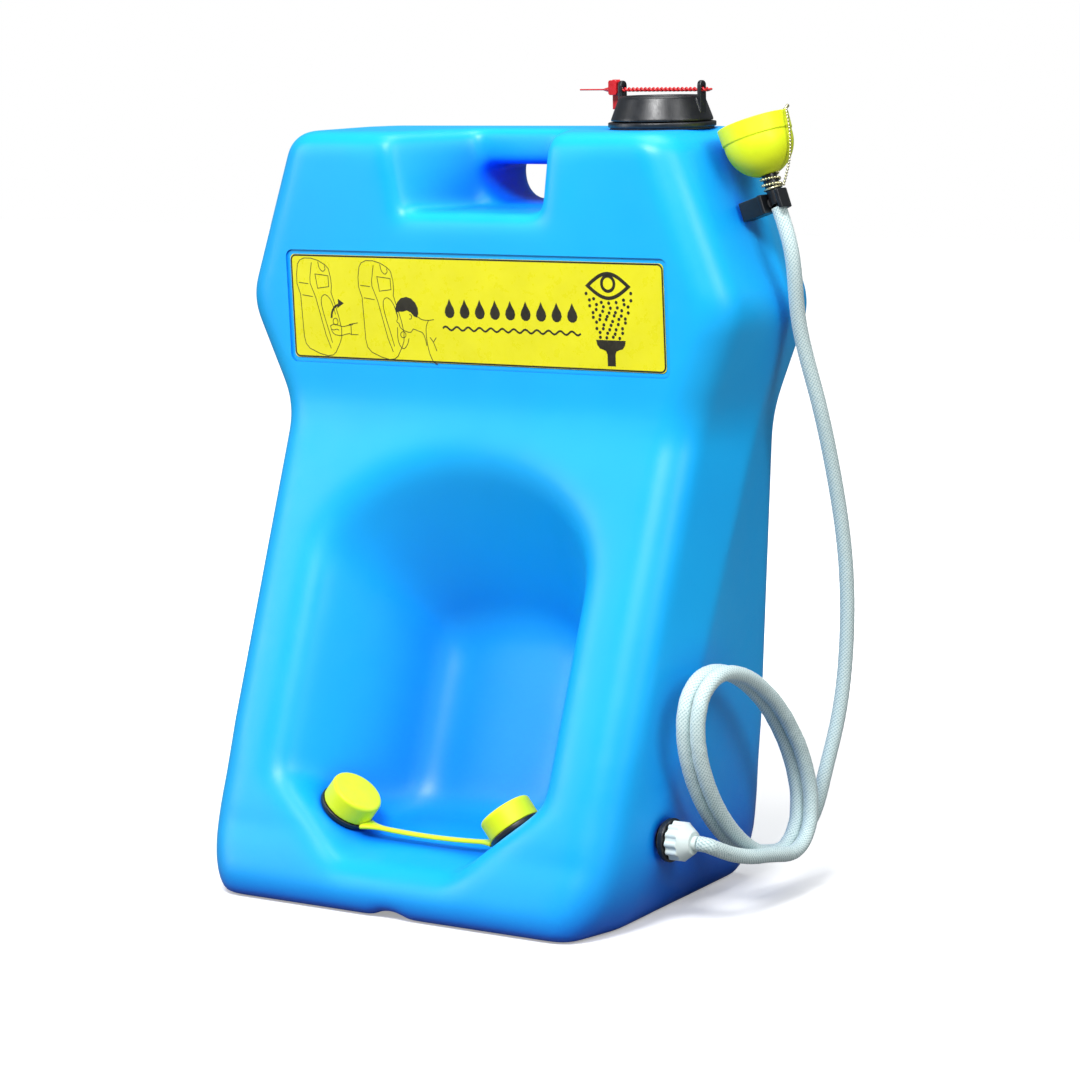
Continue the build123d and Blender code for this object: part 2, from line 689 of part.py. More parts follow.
# ---------------------------------------------------------------- drench head
stem = rod(stem_radius, stem_low, cup_low) - rod(4.0, stem_low - 1, cup_low + 1)
save(head_plane * stem, "head_stem")
band_low = cup_high - cup_band_height
cup_profile = Wire([
    Line((4, cup_low), (cup_base_radius, cup_low)),
    ThreePointArc((cup_base_radius, cup_low), (27.0, cup_low + 12), (cup_radius, band_low)),
    Line((cup_radius, band_low), (cup_rim_radius - 0.8, band_low)),
    Line((cup_rim_radius - 0.8, band_low), (cup_rim_radius, cup_high)),
    Line((cup_rim_radius, cup_high), (cup_rim_radius - cup_wall, cup_high)),
    Line((cup_rim_radius - cup_wall, cup_high), (cup_radius - cup_wall, band_low)),
    ThreePointArc((cup_radius - cup_wall, band_low), (24.5, cup_low + 14.5), (cup_base_radius - 1, cup_low + 4)),
    Line((cup_base_radius - 1, cup_low + 4), (4, cup_low + 4)),
    Line((4, cup_low + 4), (4, cup_low)),
])
save(head_plane * revolve(Plane.XZ * make_face(cup_profile), Axis.Z), "eye_cup")
spray_low = cup_low + 4
spray_profile = Polyline(
    (0, spray_face_z - 3), (spray_face_radius - 3, spray_face_z - 3), (6, spray_low + 8), (6, spray_low),
    (9, spray_low), (9, spray_low + 6), (spray_face_radius, spray_face_z - 6),
    (spray_face_radius, spray_face_z), (0, spray_face_z), close=True)
spray_face = revolve(Plane.XZ * make_face(spray_profile), Axis.Z)
spray_hole = rod(spray_hole_radius, spray_face_z - 4, spray_face_z + 1)
for ring_radius, count in ((7.0, 6), (14.0, 12), (20.0, 18)):
    spray_face -= [loc * spray_hole for loc in PolarLocations(ring_radius, count)]
save(head_plane * spray_face, "spray_face")
plug = rod(plug_radius, plug_z, plug_z + plug_thickness) + rod(5, plug_z, plug_z + plug_thickness + 3)
save(head_plane * plug, "dust_plug")
chain_points = (
    (5, 0, 71),
    (12, 12, 78),
    (20, 22, 84),
    (26, 25, 86),
    (33, 18, 85.8),
    (37.8, 9, 85.2),
    (40, 1, 82),
    (41, -3, 74),
    (40, -4, 64),
    (36.8, -4, 51),
    (30, -3, 35),
    (20.5, -2, 21),
    (13, 0, 12.5),
)
chain_path = head_plane * Spline(*chain_points)
chain_start = Plane(origin=chain_path @ 0, z_dir=chain_path % 0)
save(sweep(chain_start * Circle(chain_radius), path=chain_path), "bead_chain")
chain_ring = Pos(0, 0, 12.5) * Torus(stem_radius + 1.2, 1.1)
save(head_plane * chain_ring, "chain_ring")

# ---------------------------------------------------------------- clip
jaw_inner = stem_radius + clip_gap
jaw_outer = jaw_inner + clip_wall
jaw_back = jaw_outer + 2.0
clip_body = Pos(0, 0, clip_reach) * Rot(90, 0, 0) * Cylinder(jaw_outer, clip_height)
block_low = clip_screw_foot
clip_body += Pos(0, 0, (block_low + clip_reach) / 2) * Box(
    clip_block_width, clip_height, clip_reach - block_low)
clip_body += Pos(-jaw_back / 2, 0, clip_reach) * Box(jaw_back, clip_height, 2 * jaw_outer)
clip_body -= Pos(0, 0, clip_reach) * Rot(90, 0, 0) * Cylinder(jaw_inner, clip_height + 2)
clip_body -= Pos(-clip_reach / 2, 0, clip_reach) * Box(clip_reach, clip_height + 2, 2 * jaw_inner)
clip_body = clip_plane * clip_body - tank_body(0.0)
clip_body = clip_body.solids().sort_by(SortBy.VOLUME)[-1]
screw_head_top = clip_reach - jaw_inner - 0.4
screw_head_low = screw_head_top - clip_screw_head_thickness
clip_screw = rod(clip_screw_radius, clip_screw_foot, screw_head_low)
clip_screw += rod(clip_screw_head_radius, screw_head_low, screw_head_top)
clip_screw = clip_plane * clip_screw
head_way = clip_plane * rod(clip_screw_head_radius, screw_head_low, clip_reach)
save(clip_body - clip_screw - head_way, "hose_clip")
save(clip_screw, "clip_screw")
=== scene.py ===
"""Portable gravity-fed eyewash station, dressed around its CAD frame. Metres, +Z up."""

import json
import math
import random

import bmesh
import bpy
import numpy as np
from mathutils import Matrix, Vector


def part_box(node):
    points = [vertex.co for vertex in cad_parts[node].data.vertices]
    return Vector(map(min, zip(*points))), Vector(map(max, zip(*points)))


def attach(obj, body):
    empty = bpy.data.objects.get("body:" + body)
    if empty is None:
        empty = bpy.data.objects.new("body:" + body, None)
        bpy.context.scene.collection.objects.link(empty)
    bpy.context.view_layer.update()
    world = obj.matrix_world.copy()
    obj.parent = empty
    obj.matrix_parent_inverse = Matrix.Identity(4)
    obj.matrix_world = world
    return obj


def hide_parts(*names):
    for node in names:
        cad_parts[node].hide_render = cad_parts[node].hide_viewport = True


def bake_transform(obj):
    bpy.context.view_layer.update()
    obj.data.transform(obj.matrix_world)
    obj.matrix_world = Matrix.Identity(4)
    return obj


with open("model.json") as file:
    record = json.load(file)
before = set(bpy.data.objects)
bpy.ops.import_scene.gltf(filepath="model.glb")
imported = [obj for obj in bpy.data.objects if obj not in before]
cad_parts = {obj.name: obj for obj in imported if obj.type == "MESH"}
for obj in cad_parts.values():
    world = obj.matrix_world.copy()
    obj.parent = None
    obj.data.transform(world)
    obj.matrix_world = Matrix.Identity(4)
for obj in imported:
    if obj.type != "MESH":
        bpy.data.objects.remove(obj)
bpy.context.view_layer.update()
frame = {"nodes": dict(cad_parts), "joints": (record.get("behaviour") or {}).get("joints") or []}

MM = 0.001
ZONE_LEVELS = 5
# Reach of the ambient occlusion that paints shade into the tank's hollows.
PAINTED_SHADE_REACH = 240 * MM
NODES = frame["nodes"]
JOINTS = {joint["name"]: joint for joint in frame["joints"]}


# ---------------------------------------------------------------- materials

class Graph:
    """A node tree with one Principled surface, built a node at a time."""

    def __init__(self, name):
        self.material = bpy.data.materials.new(name)
        self.material.use_nodes = True
        self.tree = self.material.node_tree
        self.tree.nodes.clear()
        self.output = self.add("ShaderNodeOutputMaterial")
        self.surface = self.add("ShaderNodeBsdfPrincipled")
        self.wire(self.surface.outputs["BSDF"], self.output.inputs["Surface"])
        self.coords = self.add("ShaderNodeTexCoord").outputs["Object"]

    def add(self, kind, **settings):
        node = self.tree.nodes.new(kind)
        for key, value in settings.items():
            setattr(node, key, value)
        return node

    def wire(self, source, target):
        self.tree.links.new(source, target)

    def noise(self, size, detail=2.0, rough=0.5, stretch=(1, 1, 1)):
        """Noise of a grain size in metres; the output runs from 0 to 1."""
        mapping = self.add("ShaderNodeMapping")
        mapping.inputs["Scale"].default_value = stretch
        self.wire(self.coords, mapping.inputs["Vector"])
        node = self.add("ShaderNodeTexNoise")
        node.inputs["Scale"].default_value = 1 / size
        node.inputs["Detail"].default_value = detail
        node.inputs["Roughness"].default_value = rough
        self.wire(mapping.outputs["Vector"], node.inputs["Vector"])
        return node.outputs["Fac"]

    def spots(self, size):
        """Cell distance of a grain size in metres, for pits and flecks."""
        node = self.add("ShaderNodeTexVoronoi")
        node.inputs["Scale"].default_value = 1 / size
        self.wire(self.coords, node.inputs["Vector"])
        return node.outputs["Distance"]

    def remap(self, value, low, high, to_low, to_high):
        node = self.add("ShaderNodeMapRange")
        for socket, number in zip(
            ("From Min", "From Max", "To Min", "To Max"), (low, high, to_low, to_high)
        ):
            node.inputs[socket].default_value = number
        self.wire(value, node.inputs["Value"])
        return node.outputs["Result"]

    def mix(self, factor, first, second):
        """A colour mix; each side is a colour or a socket."""
        node = self.add("ShaderNodeMix", data_type="RGBA")
        self.wire(factor, node.inputs["Factor"])
        for index, side in ((6, first), (7, second)):
            if isinstance(side, tuple):
                node.inputs[index].default_value = (*side, 1)
            else:
                self.wire(side, node.inputs[index])
        return node.outputs[2]

    def bump(self, height, distance, strength, below=None):
        node = self.add("ShaderNodeBump")
        node.inputs["Strength"].default_value = strength
        node.inputs["Distance"].default_value = distance
        self.wire(height, node.inputs["Height"])
        if below is not None:
            self.wire(below, node.inputs["Normal"])
        return node.outputs["Normal"]

    def edges(self, low, high):
        """1 on convex edges, 0 on flats and in hollows."""
        geometry = self.add("ShaderNodeNewGeometry")
        return self.remap(geometry.outputs["Pointiness"], low, high, 0, 1)


def moulded_look(
    name,
    colour,
    shade,
    worn,
    rough=(0.35, 0.5),
    grain=0.8 * MM,
    grain_depth=0.04 * MM,
    swell=14 * MM,
    swell_depth=0.25 * MM,
    cloud=90 * MM,
    wear=0.35,
    coat=0.0,
    specular=0.5,
    sheen=0.0,
    painted_hollow_shade=None,
):
    """A moulded surface: cloudy colour, fine grain, slow ripples, rubbed edges.

    When given, a painted shade colour darkens the hollows of the shape, following ambient occlusion:
    painted shade that stands in for light falling off in the hollows.
    """
    graph = Graph(name)
    clouds = graph.noise(cloud, 3)
    colour_out = graph.mix(graph.remap(clouds, 0.3, 0.7, 0, 1), colour, shade)
    # Painted shade: where ambient occlusion finds a hollow, the colour turns towards the painted shade
    # colour.
    if painted_hollow_shade:
        hollow = graph.add("ShaderNodeAmbientOcclusion", samples=6)
        hollow.inputs["Distance"].default_value = PAINTED_SHADE_REACH
        openness = graph.remap(hollow.outputs["AO"], 0.25, 0.82, 0, 1)
        colour_out = graph.mix(openness, painted_hollow_shade, colour_out)
    fine = graph.noise(grain, 2, 0.6)
    flecks = graph.remap(graph.spots(grain * 7), 0.0, 0.12, 0.25, 0)
    colour_out = graph.mix(flecks, colour_out, shade)
    rub = graph.add("ShaderNodeMath", operation="MULTIPLY")
    graph.wire(graph.edges(0.515, 0.6), rub.inputs[0])
    graph.wire(graph.remap(graph.noise(cloud / 6, 4, 0.7), 0.35, 0.7, 0, wear), rub.inputs[1])
    colour_out = graph.mix(rub.outputs[0], colour_out, worn)
    graph.wire(colour_out, graph.surface.inputs["Base Color"])
    scuffs = graph.noise(cloud / 3, 5, 0.7)
    graph.wire(graph.remap(scuffs, 0.3, 0.7, *rough), graph.surface.inputs["Roughness"])
    slow = graph.bump(graph.noise(swell, 2), swell_depth, 0.35)
    graph.wire(graph.bump(fine, grain_depth, 0.6, slow), graph.surface.inputs["Normal"])
    graph.surface.inputs["Coat Weight"].default_value = coat
    graph.surface.inputs["Coat Roughness"].default_value = 0.15
    graph.surface.inputs["Specular IOR Level"].default_value = specular
    graph.surface.inputs["Sheen Weight"].default_value = sheen
    return graph.material


def braid_look(name, yarn, gap):
    """Woven yarn: light on the crowns of the braid and grey in its gaps."""
    graph = Graph(name)
    weave = graph.add("ShaderNodeAttribute", attribute_name="weave").outputs["Fac"]
    fibre = graph.noise(0.35 * MM, 3, 0.7, (1, 1, 3))
    yarns = graph.mix(graph.remap(fibre, 0.35, 0.65, 0, 0.25), yarn, gap)
    soiled = graph.mix(graph.remap(graph.noise(60 * MM, 3), 0.45, 0.75, 0, 0.2), yarns, gap)
    colour = graph.mix(graph.remap(weave, 0.15, 0.7, 0, 1), gap, soiled)
    graph.wire(colour, graph.surface.inputs["Base Color"])
    graph.wire(graph.remap(weave, 0, 1, 0.85, 0.5), graph.surface.inputs["Roughness"])
    graph.wire(graph.bump(fibre, 0.08 * MM, 0.5), graph.surface.inputs["Normal"])
    graph.surface.inputs["Sheen Weight"].default_value = 0.25
    return graph.material


def metal_look(name, bright, dull, rough):
    """Bare metal, streaked along the part's own height."""
    graph = Graph(name)
    streaks = graph.noise(0.9 * MM, 4, 0.6, (1, 1, 4))
    colour = graph.mix(graph.remap(streaks, 0.3, 0.7, 0, 1), bright, dull)
    graph.wire(colour, graph.surface.inputs["Base Color"])
    graph.surface.inputs["Metallic"].default_value = 0.85
    graph.wire(graph.remap(streaks, 0.3, 0.7, *rough), graph.surface.inputs["Roughness"])
    graph.wire(graph.bump(streaks, 0.02 * MM, 0.4), graph.surface.inputs["Normal"])
    return graph.material


LOOKS = {
    "tank_plastic": moulded_look(
        "tank_plastic", (0.003, 0.45, 0.94), (0.002, 0.41, 0.92), (0.05, 0.58, 0.98),
        rough=(0.36, 0.46), grain=1.1 * MM, grain_depth=0.05 * MM,
        swell=30 * MM, swell_depth=0.5 * MM, cloud=160 * MM, wear=0.3, specular=0.45,
        # Painted shade: the deeper blue painted into the bowl and the tank's other hollows.
        painted_hollow_shade=(0.0, 0.11, 0.78),
    ),
    "label_film": moulded_look(
        "label_film", (0.80, 0.76, 0.012), (0.74, 0.70, 0.010), (0.85, 0.80, 0.05),
        rough=(0.22, 0.4), grain=0.5 * MM, grain_depth=0.01 * MM, swell=25 * MM,
        swell_depth=0.08 * MM, cloud=40 * MM, wear=0.2, coat=0.25,
    ),
    "label_ink": moulded_look(
        "label_ink", (0.012, 0.010, 0.006), (0.02, 0.018, 0.01), (0.06, 0.055, 0.02),
        rough=(0.3, 0.5), grain=0.4 * MM, grain_depth=0.01 * MM, cloud=20 * MM, wear=0.2,
    ),
    "seal_rubber": moulded_look(
        "seal_rubber", (0.008, 0.008, 0.009), (0.016, 0.016, 0.018), (0.05, 0.05, 0.05),
        rough=(0.6, 0.8), grain=0.4 * MM, grain_depth=0.03 * MM, cloud=15 * MM,
    ),
    "black_plastic": moulded_look(
        "black_plastic", (0.004, 0.005, 0.007), (0.009, 0.011, 0.015), (0.09, 0.10, 0.12),
        rough=(0.3, 0.46), grain=0.7 * MM, grain_depth=0.03 * MM, cloud=30 * MM,
        wear=0.5, specular=0.6,
    ),
    "red_plastic": moulded_look(
        "red_plastic", (0.62, 0.010, 0.018), (0.45, 0.006, 0.012), (0.80, 0.10, 0.10),
        rough=(0.25, 0.4), grain=0.5 * MM, grain_depth=0.02 * MM, cloud=9 * MM,
    ),
    "yellow_rubber": moulded_look(
        "yellow_rubber", (0.80, 0.93, 0.006), (0.72, 0.86, 0.005), (0.90, 0.97, 0.08),
        rough=(0.42, 0.6), grain=0.6 * MM, grain_depth=0.03 * MM, swell=9 * MM,
        swell_depth=0.1 * MM, cloud=25 * MM, wear=0.35, sheen=0.05,
    ),
    "white_plastic": moulded_look(
        "white_plastic", (0.80, 0.90, 0.88), (0.70, 0.82, 0.80), (0.95, 0.97, 0.97),
        rough=(0.3, 0.45), grain=0.6 * MM, grain_depth=0.03 * MM, cloud=14 * MM,
    ),
    "hose_braid": braid_look("hose_braid", (0.78, 0.91, 0.90), (0.30, 0.46, 0.48)),
    "bead_metal": metal_look("bead_metal", (0.85, 0.82, 0.55), (0.62, 0.58, 0.34), (0.2, 0.38)),
    "screw_steel": metal_look("screw_steel", (0.62, 0.63, 0.65), (0.42, 0.43, 0.46), (0.25, 0.45)),
}


# ------------------------------------------------------------ mesh building

def new_piece(name, mesh, body, slot, look=None, nodes=()):
    """A visible piece that rides on a body and stands for some CAD nodes."""
    piece = bpy.data.objects.new(name, mesh)
    bpy.context.scene.collection.objects.link(piece)
    mesh.materials.clear()
    mesh.materials.append(LOOKS[look or slot])
    if body:
        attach(piece, body)
    if nodes:
        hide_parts(*nodes)
    return piece


def mesh_from(name, vertices, faces, smooth=True):
    """A mesh whose closed parts all face outwards."""
    mesh = bpy.data.meshes.new(name)
    mesh.from_pydata([tuple(v) for v in vertices], [], [tuple(f) for f in faces])
    work = bmesh.new()
    work.from_mesh(mesh)
    bmesh.ops.recalc_face_normals(work, faces=work.faces)
    work.to_mesh(mesh)
    work.free()
    mesh.update()
    if smooth:
        mesh.shade_smooth()
    else:
        mesh.shade_flat()
    return mesh


def baked(obj):
    """The object's mesh with its modifiers applied; the object itself goes."""
    depsgraph = bpy.context.evaluated_depsgraph_get()
    mesh = bpy.data.meshes.new_from_object(obj.evaluated_get(depsgraph))
    bpy.data.objects.remove(obj)
    return mesh


def loose(mesh):
    """A passing object round a mesh, for modifiers to work on."""
    obj = bpy.data.objects.new("work", mesh)
    bpy.context.scene.collection.objects.link(obj)
    return obj


def relax(obj, passes, group=""):
    """Adds a smoothing of so many passes, over the whole mesh or one weighted group."""
    modifier = obj.modifiers.new("relax", "SMOOTH")
    modifier.factor = 0.5
    modifier.iterations = passes
    modifier.vertex_group = group


def soften(mesh, voxel, passes, faces=0, zones=()):
    """Remeshes a sharp CAD copy and relaxes it, so its edges get moulded roundings.

    Each zone is (weight of points, passes) and is relaxed further on its own.
    """
    work = loose(mesh)
    remesh = work.modifiers.new("voxels", "REMESH")
    remesh.mode = "VOXEL"
    remesh.voxel_size = voxel
    work = loose(baked(work))
    if zones:
        points = np.empty(3 * len(work.data.vertices))
        work.data.vertices.foreach_get("co", points)
        points = points.reshape(-1, 3)
    for number, (weigh, extra) in enumerate(zones):
        group = work.vertex_groups.new(name=f"zone{number}")
        level = np.round(np.clip(weigh(points), 0, 1) * ZONE_LEVELS).astype(int)
        for step in range(1, ZONE_LEVELS + 1):
            group.add(np.flatnonzero(level == step).tolist(), step / ZONE_LEVELS, "REPLACE")
        relax(work, extra, group.name)
    relax(work, passes)
    mesh = baked(work)
    count = sum(len(p.vertices) - 2 for p in mesh.polygons)
    if faces and count > faces:
        work = loose(mesh)
        thin = work.modifiers.new("thin", "DECIMATE")
        thin.ratio = faces / count
        mesh = baked(work)
    mesh.shade_smooth()
    return mesh


def moulded(name, node, body, slot, voxel, passes, faces=0):
    """A CAD node's shape with soft edges, standing for that node."""
    mesh = soften(NODES[node].data.copy(), voxel, passes, faces)
    return new_piece(name, mesh, body, slot, nodes=(node,))


def rounded_rectangle(left, right, bottom, top, radius, steps=6):
    """Outline of a rectangle with round corners, counter-clockwise from its top right."""
    corners = ((right, top, 0), (left, top, 90), (left, bottom, 180), (right, bottom, 270))
    outline = []
    for x, z, start in corners:
        cx = x - math.copysign(radius, x - (left + right) / 2)
        cz = z - math.copysign(radius, z - (bottom + top) / 2)
        for step in range(steps + 1):
            angle = math.radians(start + 90 * step / steps)
            outline.append((cx + radius * math.cos(angle), cz + radius * math.sin(angle)))
    return outline


def spline(points, count):
    """Centripetal curve through the points, as count evenly spaced points."""
    p = np.array(points, float)
    p = np.vstack([2 * p[0] - p[1], p, 2 * p[-1] - p[-2]])
    knots = np.concatenate([[0], np.cumsum(np.sqrt(np.linalg.norm(np.diff(p, axis=0), axis=1)))])
    dense = []
    for i in range(1, len(p) - 2):
        t = np.linspace(knots[i], knots[i + 1], 24, endpoint=i == len(p) - 3)[:, None]
        k = knots[i - 1:i + 3]
        a = [((k[j + 1] - t) * p[i - 1 + j] + (t - k[j]) * p[i + j]) / (k[j + 1] - k[j]) for j in range(3)]
        b = [((k[j + 2] - t) * a[j] + (t - k[j]) * a[j + 1]) / (k[j + 2] - k[j]) for j in range(2)]
        dense.append(((k[2] - t) * b[0] + (t - k[1]) * b[1]) / (k[2] - k[1]))
    return even(np.vstack(dense), count)


def even(path, count):
    """The path again with evenly spaced points."""
    length = np.concatenate([[0], np.cumsum(np.linalg.norm(np.diff(path, axis=0), axis=1))])
    where = np.linspace(0, length[-1], count)
    return np.stack([np.interp(where, length, path[:, i]) for i in range(3)], 1)


def path_frames(path):
    """Tangent and two normals along a path that never twist about it."""
    tangent = np.gradient(path, axis=0)
    tangent /= np.linalg.norm(tangent, axis=1)[:, None]
    normal = np.zeros_like(path)
    seed = np.cross(tangent[0], (0.3, 0.9, 0.2))
    normal[0] = seed / np.linalg.norm(seed)
    for i in range(1, len(path)):
        step = normal[i - 1] - tangent[i] * (normal[i - 1] @ tangent[i])
        normal[i] = step / np.linalg.norm(step)
    return tangent, normal, np.cross(tangent, normal)


def tube(path, radii, sides):
    """Vertices and faces of a closed tube; radii is one value or one for each point and side."""
    tangent, first, second = path_frames(path)
    angle = np.linspace(0, 2 * np.pi, sides, endpoint=False)
    radii = np.broadcast_to(radii, (len(path), sides))
    ring = (
        first[:, None] * np.cos(angle)[None, :, None]
        + second[:, None] * np.sin(angle)[None, :, None]
    )
    points = path[:, None] + ring * radii[..., None]
    index = np.arange(len(path) * sides).reshape(len(path), sides)
    turn = np.roll(index, -1, 1)
    faces = np.stack([index[:-1], turn[:-1], turn[1:], index[1:]], -1).reshape(-1, 4).tolist()
    faces.append(index[0][::-1].tolist())
    faces.append(index[-1].tolist())
    return points.reshape(-1, 3), faces


def lathe(profile, origin, axis, sides):
    """A turned solid: profile is (radius, height) from the axis foot to the axis top."""
    axis = np.array(axis, float) / np.linalg.norm(axis)
    first = np.cross(axis, (0, 1, 0.01))
    first /= np.linalg.norm(first)
    second = np.cross(axis, first)
    angle = np.linspace(0, 2 * np.pi, sides, endpoint=False)
    points = []
    faces = []
    for radius, height in profile:
        ring = np.outer(np.cos(angle), first) + np.outer(np.sin(angle), second)
        points.append(np.array(origin) + ring * radius + axis * height)
    for level in range(len(profile) - 1):
        for i in range(sides):
            j = (i + 1) % sides
            a = level * sides
            faces.append([a + i, a + j, a + j + sides, a + i + sides])
    last = (len(profile) - 1) * sides
    faces.append(list(range(sides))[::-1])
    faces.append(list(range(last, last + sides)))
    return np.vstack(points), faces


def joined(parts):
    """Several (vertices, faces) lists as one."""
    points = []
    faces = []
    start = 0
    for vertices, polygons in parts:
        points.append(np.array(vertices))
        faces += [[i + start for i in polygon] for polygon in polygons]
        start += len(vertices)
    return np.vstack(points), faces


def centreline(node, start, heading, radius, step):
    """Middle of a CAD tube, found by slicing it again and again along its run."""
    mesh = NODES[node].data
    co = np.array([v.co for v in mesh.vertices])
    ends = np.array([e.vertices for e in mesh.edges])
    low, high = co[ends[:, 0]], co[ends[:, 1]]
    centre = np.array(start, float)
    heading = np.array(heading, float) / np.linalg.norm(heading)
    path = [centre]
    while True:
        guess = centre + heading * step
        near = np.linalg.norm((low + high) / 2 - guess, axis=1) < 2.2 * radius
        a, b = low[near], high[near]
        da, db = (a - guess) @ heading, (b - guess) @ heading
        cross = da * db < 0
        share = (da / (da - db + 1e-12))[cross, None]
        hits = a[cross] + (b[cross] - a[cross]) * share
        hits = hits[np.linalg.norm(hits - guess, axis=1) < 1.35 * radius]
        if len(hits) < 8:
            return np.array(path)
        side = np.cross(heading, (0.31, 0.17, 0.93))
        side /= np.linalg.norm(side)
        other = np.cross(heading, side)
        u, v = (hits - guess) @ side, (hits - guess) @ other
        fit = np.linalg.lstsq(np.stack([u, v, np.ones_like(u)], 1), u * u + v * v, rcond=None)[0]
        centre = guess + side * fit[0] / 2 + other * fit[1] / 2
        heading = centre - path[-1]
        heading /= np.linalg.norm(heading)
        path.append(centre)


# --------------------------------------------------------------------- tank

label_low, label_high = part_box("label_plate")
POCKET_GAP = 5 * MM
POCKET_CORNER = 8 * MM
POCKET_OPEN = 60 * MM
SLAB_OVERLAP = 3 * MM
SLAB_DEPTH = 5 * MM
TANK_VOXEL = 3.0 * MM
TANK_RELAX = 22
TANK_FACES = 190000
SHARP_EDGE = math.radians(40)

# The parts of the tank that are relaxed further, each fading out at its limits.
BOWL_HALF_WIDTH, BOWL_BACK, BOWL_FLOOR, BOWL_TOP = 0.215, 0.09, 0.045, 0.50
BOWL_FADE = 30 * MM
BOWL_RELAX = 130
SEAT_KEPT, SEAT_FADE = 30 * MM, 14 * MM
GRIP_HALF_WIDTH, GRIP_BACK, GRIP_FLOOR = 0.15, 0.15, 0.655
GRIP_FADE = 25 * MM
GRIP_RELAX = 60
FEET_SIDE, FEET_FACE, FEET_TOP, FEET_SOLE = 0.2, 0.15, 0.17, 0.001
FEET_FADE, FEET_RISE, FEET_LIFT = 25 * MM, 50 * MM, 12 * MM
FEET_RELAX = 150
SOLE_WEIGHT = 0.15


def label_frame():
    """The label's middle with its across, up and outward directions."""
    points = np.array([v.co for v in NODES["label_plate"].data.vertices])
    middle = (points.min(0) + points.max(0)) / 2
    band = 5 * MM
    top = points[points[:, 2] > label_high.z - band]
    foot = points[points[:, 2] < label_low.z + band]
    lean = math.atan2(foot[:, 1].min() - top[:, 1].min(), label_high.z - label_low.z - band)
    up = Vector((0, -math.sin(lean), math.cos(lean)))
    out = Vector((0, -math.cos(lean), -math.sin(lean)))
    thickness = np.ptp((points - middle) @ np.array(out))
    return Vector(middle), up, out, thickness


LABEL_MIDDLE, LABEL_UP, LABEL_OUT, LABEL_THICKNESS = label_frame()
LABEL_HALF_WIDTH = (label_high.x - label_low.x) / 2
LABEL_HALF_HEIGHT = (label_high.z - label_low.z) / 2


def on_label(u, v, proud):
    """A point over the label's middle plane: across, up and out of the tank."""
    return LABEL_MIDDLE + Vector((u, 0, 0)) + LABEL_UP * v + LABEL_OUT * proud


def label_prism(outline, low, high):
    """Vertices and faces of an outline on the label, pushed from low to high."""
    count = len(outline)
    points = [on_label(u, v, level) for level in (low, high) for u, v in outline]
    faces = [list(range(count))[::-1], list(range(count, 2 * count))]
    faces += [[i, (i + 1) % count, (i + 1) % count + count, i + count] for i in range(count)]
    return points, faces


def front_gap():
    """How far the tank's front wall stands out from the label's middle plane."""
    start = on_label(LABEL_HALF_WIDTH / 3, LABEL_HALF_HEIGHT + 3 * POCKET_GAP, 1)
    place = NODES["tank_shell"].ray_cast(start, -LABEL_OUT)[1]
    return (place - LABEL_MIDDLE).dot(LABEL_OUT)


def pocket_outline(grow):
    """The label's pocket, or a larger outline round it."""
    wide = LABEL_HALF_WIDTH + POCKET_GAP + grow
    tall = LABEL_HALF_HEIGHT + POCKET_GAP + grow
    return rounded_rectangle(-wide, wide, -tall, tall, POCKET_CORNER + grow)


def in_bowl(points):
    """1 inside the wash bowl and over its lip, 0 away from it and at the nozzle seats."""
    x, y, z = np.abs(points[:, 0]), points[:, 1], points[:, 2]
    weight = np.clip((BOWL_HALF_WIDTH - x) / BOWL_FADE, 0, 1)
    weight *= np.clip((BOWL_BACK - y) / BOWL_FADE, 0, 1)
    weight *= np.clip((z - BOWL_FLOOR) / (0.5 * BOWL_FADE), 0, 1)
    weight *= np.clip((BOWL_TOP - z) / BOWL_FADE, 0, 1)
    for side in ("left", "right"):
        low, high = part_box(f"nozzle_gasket_{side}")
        away = np.linalg.norm(points - np.array((low + high) / 2), axis=1)
        weight *= np.clip((away - SEAT_KEPT) / SEAT_FADE, 0, 1)
    return weight


def in_handle(points):
    """1 round the grip recess and the hand hole, 0 away from them."""
    x, y, z = np.abs(points[:, 0]), points[:, 1], points[:, 2]
    weight = np.clip((GRIP_HALF_WIDTH - x) / GRIP_FADE, 0, 1)
    weight *= np.clip((z - GRIP_FLOOR) / GRIP_FADE, 0, 1)
    return weight * np.clip((GRIP_BACK - y) / GRIP_FADE, 0, 1)


def in_feet(points):
    """1 along the outer edges near the floor and up the corners."""
    x, y, z = np.abs(points[:, 0]), points[:, 1], points[:, 2]
    outer = np.maximum(x - FEET_SIDE, np.abs(y) - FEET_FACE) / FEET_FADE
    low = np.clip((FEET_TOP - z) / FEET_RISE, 0, 1)
    return np.clip(outer, 0, 1) * low * np.clip((z - FEET_SOLE) / FEET_LIFT, SOLE_WEIGHT, 1)


